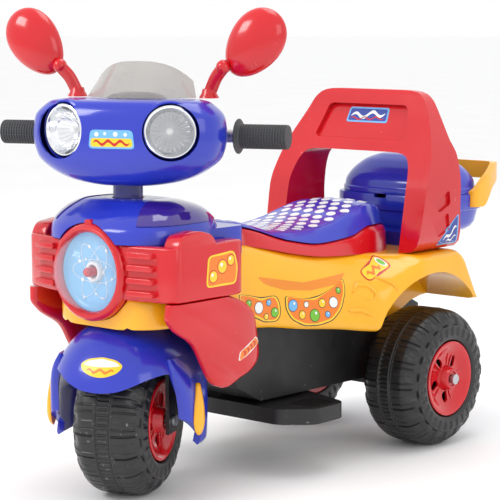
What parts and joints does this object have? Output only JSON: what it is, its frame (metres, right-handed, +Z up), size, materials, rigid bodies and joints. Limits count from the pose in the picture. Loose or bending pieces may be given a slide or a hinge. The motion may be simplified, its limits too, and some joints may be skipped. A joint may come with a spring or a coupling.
{
  "type": "ride-on tricycle",
  "caption": "Battery ride-on tricycle for a small child: turning front fork with lamps, screen and mirrors, saddle, roll bar, lidded trunk and pull handle.",
  "frame": {"origin": "middle of the footprint box on the ground", "axes": "+Z up, front faces -Y, the rider's left is +X; the front fork is stored turned 23 degrees to the left"},
  "size_m": [0.413, 0.883, 0.6656],
  "materials": {
    "blue_plastic": "gloss",
    "navy_plastic": "gloss",
    "red_plastic": "gloss",
    "yellow_plastic": "gloss",
    "black_plastic": "satin",
    "tyre_plastic": "satin",
    "grip_rubber": "matte",
    "chrome_trim": "polished",
    "clear_plastic": "gloss",
    "amber_plastic": "gloss",
    "purple_plastic": "gloss",
    "dial_print": "satin",
    "zinc_steel": "satin",
    "black_steel": "satin",
    "natural_nylon": "satin",
    "mirror_film": "polished"
  },
  "bodies": {
    "root": {"chassis_tray": "black_plastic", "rear_axle": "zinc_steel", "motor_gearbox": "black_plastic", "battery": "black_plastic", "steering_bush": "natural_nylon", "footboard": "black_plastic", "body_shell": "yellow_plastic", "seat_base": "red_plastic", "seat_pad": "blue_plastic", "tank_cover": "blue_plastic", "tank_window_left": "purple_plastic", "tank_window_right": "purple_plastic", "nacelle": "red_plastic", "dial_plate": "dial_print", "dial_hub": "red_plastic", "dial_dome": "clear_plastic", "side_fairing_left": "red_plastic", "side_fairing_right": "red_plastic", "roll_bar": "red_plastic", "trunk_tub": "blue_plastic", "trunk_hinge_pin": "zinc_steel", "trunk_handle": "yellow_plastic"},
    "steering": {"fender": "blue_plastic", "fork_frame": "black_steel", "front_axle": "zinc_steel", "steering_stem": "zinc_steel", "column_cover": "navy_plastic", "head_front": "blue_plastic", "head_rear": "blue_plastic", "handlebar_tube": "zinc_steel", "dash_hood": "navy_plastic", "windshield": "amber_plastic", "fork_boss_left": "yellow_plastic", "headlamp_reflector_left": "chrome_trim", "headlamp_lens_left": "clear_plastic", "grip_left": "grip_rubber", "mirror_stem_left": "red_plastic", "fork_boss_right": "yellow_plastic", "headlamp_reflector_right": "chrome_trim", "headlamp_lens_right": "clear_plastic", "grip_right": "grip_rubber", "mirror_stem_right": "red_plastic"},
    "front_wheel": {"front_tyre": "tyre_plastic", "front_rim_left": "red_plastic", "front_rim_right": "red_plastic"},
    "rear_wheel_left": {"rear_tyre_left": "tyre_plastic", "rear_rim_outer_left": "red_plastic", "rear_rim_inner_left": "red_plastic"},
    "rear_wheel_right": {"rear_tyre_right": "tyre_plastic", "rear_rim_outer_right": "red_plastic", "rear_rim_inner_right": "red_plastic", "drive_sleeve": "natural_nylon"},
    "trunk_lid": {"trunk_lid": "blue_plastic"},
    "accelerator_pedal": {"accelerator_pedal": "red_plastic"},
    "drive_switch": {"drive_switch": "red_plastic"},
    "horn_button": {"horn_button": "red_plastic"},
    "mirror_left": {"mirror_back_left": "red_plastic", "mirror_glass_left": "mirror_film"},
    "mirror_right": {"mirror_back_right": "red_plastic", "mirror_glass_right": "mirror_film"}
  },
  "joints": [
    {"name": "steering_turn", "type": "hinge", "parent": "root", "child": "steering", "pos_m": [0.01619, -0.3225, 0.3], "axis": [0, 0, 1], "range_deg": [-63, 17]},
    {"name": "front_wheel_spin", "type": "hinge", "parent": "steering", "child": "front_wheel", "pos_m": [0.01619, -0.3225, 0.105], "axis": [0.9205, 0.3907, 0], "continuous": true},
    {"name": "rear_left_spin", "type": "hinge", "parent": "root", "child": "rear_wheel_left", "pos_m": [0.14619, 0.1915, 0.105], "axis": [1, 0, 0], "continuous": true},
    {"name": "rear_right_spin", "type": "hinge", "parent": "root", "child": "rear_wheel_right", "pos_m": [-0.11381, 0.1915, 0.105], "axis": [1, 0, 0], "continuous": true},
    {"name": "trunk_lid_hinge", "type": "hinge", "parent": "root", "child": "trunk_lid", "pos_m": [0.01619, 0.4165, 0.368], "axis": [-1, 0, 0], "range_deg": [0, 50]},
    {"name": "pedal_press", "type": "hinge", "parent": "root", "child": "accelerator_pedal", "pos_m": [-0.0958, -0.0455, 0.1003], "axis": [1, 0, 0], "range_deg": [0, 6], "stiffness_Nm_per_rad": 2, "springref_deg": -2.86},
    {"name": "drive_rocker", "type": "hinge", "parent": "root", "child": "drive_switch", "pos_m": [-0.0698, -0.1125, 0.285], "axis": [0, 0, 1], "range_deg": [-7, 7]},
    {"name": "horn_press", "type": "slide", "parent": "steering", "child": "horn_button", "axis": [0.3907, -0.9205, 0], "range_m": [0, 0.002], "stiffness_N_per_m": 500, "springref_m": -0.002},
    {"name": "mirror_left_swivel", "type": "hinge", "parent": "steering", "child": "mirror_left", "pos_m": [0.10711, -0.22959, 0.586], "axis": [0, 0, 1], "range_deg": [-15, 15]},
    {"name": "mirror_right_swivel", "type": "hinge", "parent": "steering", "child": "mirror_right", "pos_m": [-0.11381, -0.32336, 0.586], "axis": [0, 0, 1], "range_deg": [-15, 15]}
  ]
}
